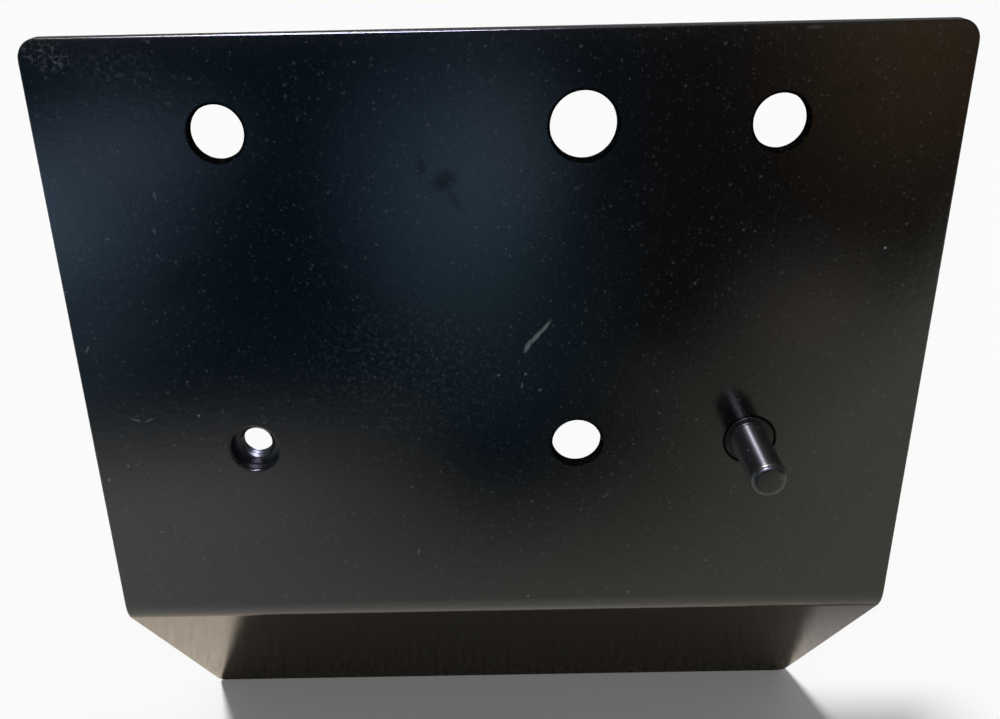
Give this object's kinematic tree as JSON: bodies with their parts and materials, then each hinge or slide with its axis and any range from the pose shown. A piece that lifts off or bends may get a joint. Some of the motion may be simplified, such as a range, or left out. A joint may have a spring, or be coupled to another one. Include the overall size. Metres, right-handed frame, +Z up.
{
  "type": "seat adapter base plate",
  "caption": "Folded sheet steel plate with bolt holes, a nut welded behind it and a locating pin, and a plain flange angled back along its lower edge.",
  "frame": {"origin": "on the front face, midway between the two upper bolt holes", "axes": "+X to the right seen from the front, +Z up along the plate towards its top edge, front face and locating pin towards -Y, flange folded back and down towards +Y"},
  "size_m": [0.185, 0.0903, 0.2083],
  "materials": {
    "gloss_black_paint": "gloss black stoved paint over steel"
  },
  "bodies": {
    "root": {"base_plate": "gloss_black_paint", "weld_nut": "gloss_black_paint", "locating_pin": "gloss_black_paint"}
  },
  "joints": []
}
